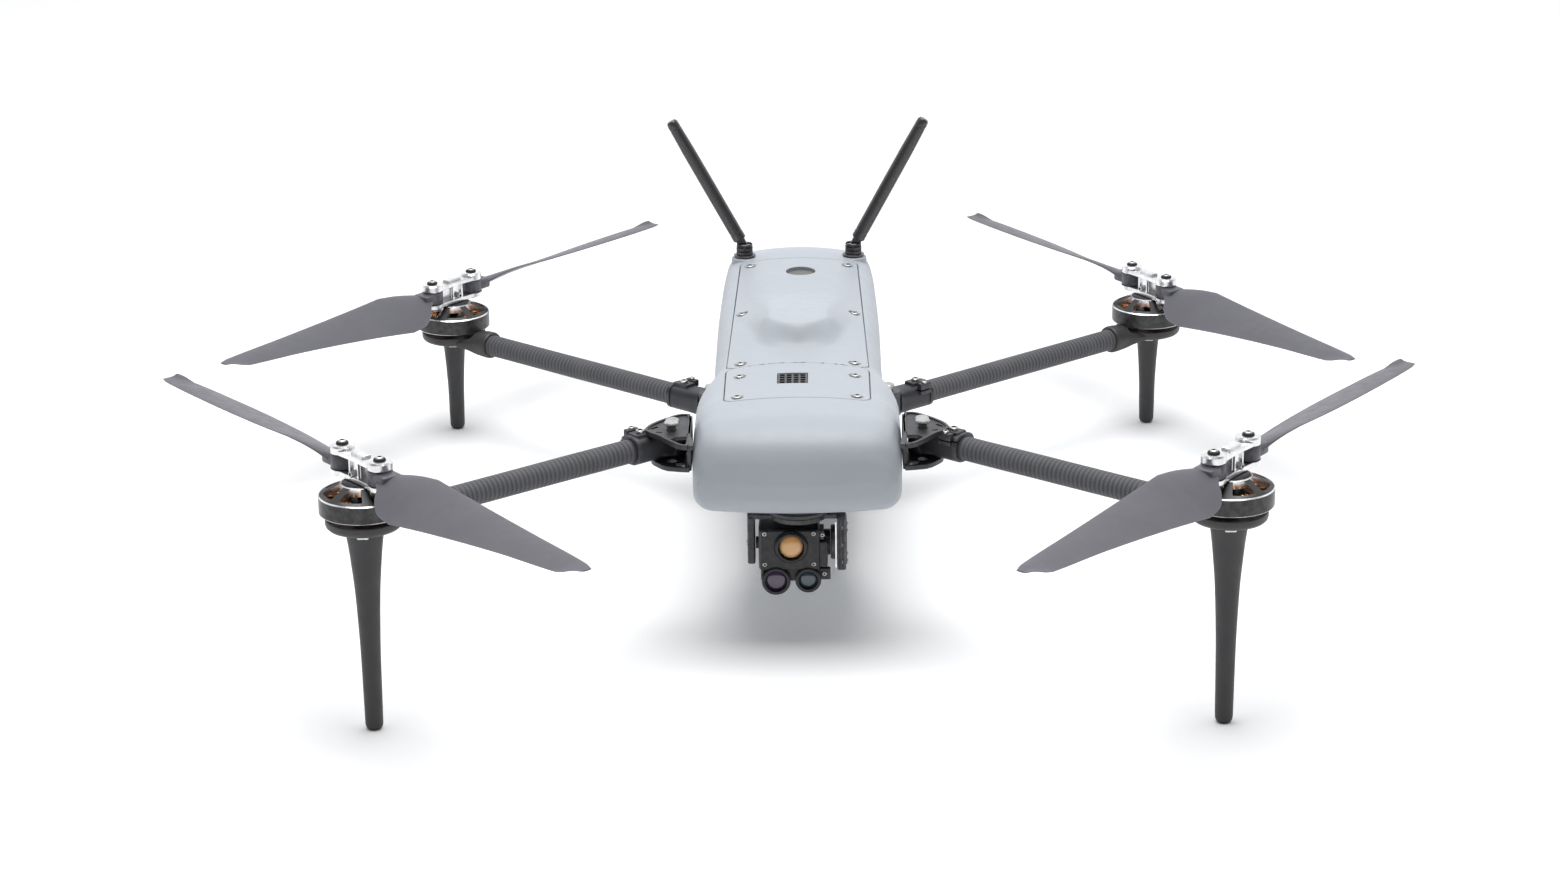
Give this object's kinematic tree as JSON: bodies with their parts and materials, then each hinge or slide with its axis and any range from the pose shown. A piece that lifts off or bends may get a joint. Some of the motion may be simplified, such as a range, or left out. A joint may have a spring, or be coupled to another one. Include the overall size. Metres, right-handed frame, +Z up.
{
  "type": "folding quadcopter drone",
  "caption": "Folding-arm camera quadcopter: slim grey hull, hinged carbon arms with tall front and short rear legs, folding propellers, rear aerials and a nose gimbal camera.",
  "frame": {"origin": "on the ground midway between the four motor axes, at the feet's lowest level", "axes": "+Z up, the nose towards -Y, the drone's own left towards +X"},
  "size_m": [0.6244, 0.7485, 0.1987],
  "materials": {
    "shell_grey": "satin",
    "grille_black": "matt",
    "button_taupe": "matt",
    "carbon_fibre": "woven carbon, satin",
    "dark_plastic": "satin",
    "circuit_board": "semi-gloss",
    "dark_metal": "anodised satin",
    "camera_black": "satin",
    "lens_gold": "coated lens",
    "machined_aluminium": "machined",
    "copper_winding": "enamelled copper",
    "motor_black": "satin with bright edges",
    "blade_grey": "satin",
    "gloss_black": "gloss"
  },
  "bodies": {
    "airframe": {"hull_shell": "shell_grey", "top_panel": "shell_grey", "access_hatch": "shell_grey", "vent_grille": "grille_black", "chassis_plate": "carbon_fibre", "battery_pack": "dark_plastic", "control_board": "circuit_board", "gimbal_base": "dark_plastic", "hinge_bracket_front_left": "dark_metal", "hinge_bracket_front_right": "dark_metal", "hinge_bracket_rear_left": "dark_metal", "hinge_bracket_rear_right": "dark_metal"},
    "arm_front_left": {"arm_knuckle_front_left": "dark_metal", "arm_tube_front_left": "carbon_fibre", "motor_mount_front_left": "dark_plastic", "landing_leg_front_left": "dark_plastic", "motor_stator_front_left": "copper_winding"},
    "rotor_front_left": {"motor_bell_front_left": "motor_black", "prop_hub_front_left": "machined_aluminium"},
    "plunger_front_left": {"lock_plunger_front_left": "machined_aluminium"},
    "blade_a_front_left": {"prop_blade_a_front_left": "blade_grey"},
    "blade_b_front_left": {"prop_blade_b_front_left": "blade_grey"},
    "arm_front_right": {"arm_knuckle_front_right": "dark_metal", "arm_tube_front_right": "carbon_fibre", "motor_mount_front_right": "dark_plastic", "landing_leg_front_right": "dark_plastic", "motor_stator_front_right": "copper_winding"},
    "rotor_front_right": {"motor_bell_front_right": "motor_black", "prop_hub_front_right": "machined_aluminium"},
    "plunger_front_right": {"lock_plunger_front_right": "machined_aluminium"},
    "blade_a_front_right": {"prop_blade_a_front_right": "blade_grey"},
    "blade_b_front_right": {"prop_blade_b_front_right": "blade_grey"},
    "arm_rear_left": {"arm_knuckle_rear_left": "dark_metal", "arm_tube_rear_left": "carbon_fibre", "motor_mount_rear_left": "dark_plastic", "landing_leg_rear_left": "dark_plastic", "motor_stator_rear_left": "copper_winding"},
    "rotor_rear_left": {"motor_bell_rear_left": "motor_black", "prop_hub_rear_left": "machined_aluminium"},
    "plunger_rear_left": {"lock_plunger_rear_left": "machined_aluminium"},
    "blade_a_rear_left": {"prop_blade_a_rear_left": "blade_grey"},
    "blade_b_rear_left": {"prop_blade_b_rear_left": "blade_grey"},
    "arm_rear_right": {"arm_knuckle_rear_right": "dark_metal", "arm_tube_rear_right": "carbon_fibre", "motor_mount_rear_right": "dark_plastic", "landing_leg_rear_right": "dark_plastic", "motor_stator_rear_right": "copper_winding"},
    "rotor_rear_right": {"motor_bell_rear_right": "motor_black", "prop_hub_rear_right": "machined_aluminium"},
    "plunger_rear_right": {"lock_plunger_rear_right": "machined_aluminium"},
    "blade_a_rear_right": {"prop_blade_a_rear_right": "blade_grey"},
    "blade_b_rear_right": {"prop_blade_b_rear_right": "blade_grey"},
    "antenna_base_left": {"antenna_base_left": "gloss_black"},
    "antenna_rod_left": {"antenna_rod_left": "gloss_black"},
    "antenna_base_right": {"antenna_base_right": "gloss_black"},
    "antenna_rod_right": {"antenna_rod_right": "gloss_black"},
    "gimbal_yoke": {"gimbal_yoke": "dark_metal"},
    "camera": {"camera_head": "camera_black", "thermal_lens": "lens_gold"},
    "power_button": {"power_button": "button_taupe"}
  },
  "joints": [
    {"name": "arm_fold_front_left", "type": "hinge", "parent": "airframe", "child": "arm_front_left", "pos_m": [0.0617, -0.1075, 0.104], "axis": [0, 0, 1], "range_deg": [0, 105]},
    {"name": "lock_pull_front_left", "type": "slide", "parent": "airframe", "child": "plunger_front_left", "axis": [0, 0, 1], "range_m": [0, 0.003], "stiffness_N_per_m": 150, "springref_m": -0.002},
    {"name": "rotor_spin_front_left", "type": "hinge", "parent": "arm_front_left", "child": "rotor_front_left", "pos_m": [0.2016, -0.2239, 0.11], "axis": [0, 0, 1], "continuous": true},
    {"name": "blade_fold_a_front_left", "type": "hinge", "parent": "rotor_front_left", "child": "blade_a_front_left", "pos_m": [0.21094, -0.21091, 0.131], "axis": [0, 0, 1], "range_deg": [-80, 80]},
    {"name": "blade_fold_b_front_left", "type": "hinge", "parent": "rotor_front_left", "child": "blade_b_front_left", "pos_m": [0.19226, -0.23689, 0.131], "axis": [0, 0, 1], "range_deg": [-80, 80]},
    {"name": "arm_fold_front_right", "type": "hinge", "parent": "airframe", "child": "arm_front_right", "pos_m": [-0.0617, -0.1075, 0.104], "axis": [0, 0, -1], "range_deg": [0, 105]},
    {"name": "lock_pull_front_right", "type": "slide", "parent": "airframe", "child": "plunger_front_right", "axis": [0, 0, 1], "range_m": [0, 0.003], "stiffness_N_per_m": 150, "springref_m": -0.002},
    {"name": "rotor_spin_front_right", "type": "hinge", "parent": "arm_front_right", "child": "rotor_front_right", "pos_m": [-0.2016, -0.2239, 0.11], "axis": [0, 0, 1], "continuous": true},
    {"name": "blade_fold_a_front_right", "type": "hinge", "parent": "rotor_front_right", "child": "blade_a_front_right", "pos_m": [-0.21167, -0.21147, 0.131], "axis": [0, 0, 1], "range_deg": [-80, 80]},
    {"name": "blade_fold_b_front_right", "type": "hinge", "parent": "rotor_front_right", "child": "blade_b_front_right", "pos_m": [-0.19153, -0.23633, 0.131], "axis": [0, 0, 1], "range_deg": [-80, 80]},
    {"name": "arm_fold_rear_left", "type": "hinge", "parent": "airframe", "child": "arm_rear_left", "pos_m": [0.0486, 0.0921, 0.0566], "axis": [0, 0, -1], "range_deg": [0, 80]},
    {"name": "lock_pull_rear_left", "type": "slide", "parent": "airframe", "child": "plunger_rear_left", "axis": [0, 0, -1], "range_m": [0, 0.003], "stiffness_N_per_m": 150, "springref_m": -0.002},
    {"name": "rotor_spin_rear_left", "type": "hinge", "parent": "arm_rear_left", "child": "rotor_rear_left", "pos_m": [0.2016, 0.2239, 0.0626], "axis": [0, 0, 1], "continuous": true},
    {"name": "blade_fold_a_rear_left", "type": "hinge", "parent": "rotor_rear_left", "child": "blade_a_rear_left", "pos_m": [0.19289, 0.23732, 0.0836], "axis": [0, 0, 1], "range_deg": [-80, 80]},
    {"name": "blade_fold_b_rear_left", "type": "hinge", "parent": "rotor_rear_left", "child": "blade_b_rear_left", "pos_m": [0.21031, 0.21048, 0.0836], "axis": [0, 0, 1], "range_deg": [-80, 80]},
    {"name": "arm_fold_rear_right", "type": "hinge", "parent": "airframe", "child": "arm_rear_right", "pos_m": [-0.0486, 0.0921, 0.0566], "axis": [0, 0, 1], "range_deg": [0, 80]},
    {"name": "lock_pull_rear_right", "type": "slide", "parent": "airframe", "child": "plunger_rear_right", "axis": [0, 0, -1], "range_m": [0, 0.003], "stiffness_N_per_m": 150, "springref_m": -0.002},
    {"name": "rotor_spin_rear_right", "type": "hinge", "parent": "arm_rear_right", "child": "rotor_rear_right", "pos_m": [-0.2016, 0.2239, 0.0626], "axis": [0, 0, 1], "continuous": true},
    {"name": "blade_fold_a_rear_right", "type": "hinge", "parent": "rotor_rear_right", "child": "blade_a_rear_right", "pos_m": [-0.19153, 0.23633, 0.0836], "axis": [0, 0, 1], "range_deg": [-80, 80]},
    {"name": "blade_fold_b_rear_right", "type": "hinge", "parent": "rotor_rear_right", "child": "blade_b_rear_right", "pos_m": [-0.21167, 0.21147, 0.0836], "axis": [0, 0, 1], "range_deg": [-80, 80]},
    {"name": "antenna_swivel_left", "type": "hinge", "parent": "airframe", "child": "antenna_base_left", "pos_m": [0.0305, 0.166, 0.1195], "axis": [0, 0, 1], "range_deg": [-90, 90]},
    {"name": "antenna_tilt_left", "type": "hinge", "parent": "antenna_base_left", "child": "antenna_rod_left", "pos_m": [0.0305, 0.166, 0.1245], "axis": [0, 1, 0], "range_deg": [-28, 50]},
    {"name": "antenna_swivel_right", "type": "hinge", "parent": "airframe", "child": "antenna_base_right", "pos_m": [-0.0305, 0.166, 0.1195], "axis": [0, 0, -1], "range_deg": [-90, 90]},
    {"name": "antenna_tilt_right", "type": "hinge", "parent": "antenna_base_right", "child": "antenna_rod_right", "pos_m": [-0.0305, 0.166, 0.1245], "axis": [0, -1, 0], "range_deg": [-28, 50]},
    {"name": "gimbal_pan", "type": "hinge", "parent": "airframe", "child": "gimbal_yoke", "pos_m": [0, -0.1145, 0.0686], "axis": [0, 0, 1], "range_deg": [-60, 60]},
    {"name": "gimbal_tilt", "type": "hinge", "parent": "gimbal_yoke", "child": "camera", "pos_m": [0, -0.1145, 0.052], "axis": [1, 0, 0], "range_deg": [-12, 90]},
    {"name": "power_button_press", "type": "slide", "parent": "airframe", "child": "power_button", "axis": [0, 0, -1], "range_m": [0, 0.0015], "stiffness_N_per_m": 400, "springref_m": -0.001}
  ]
}
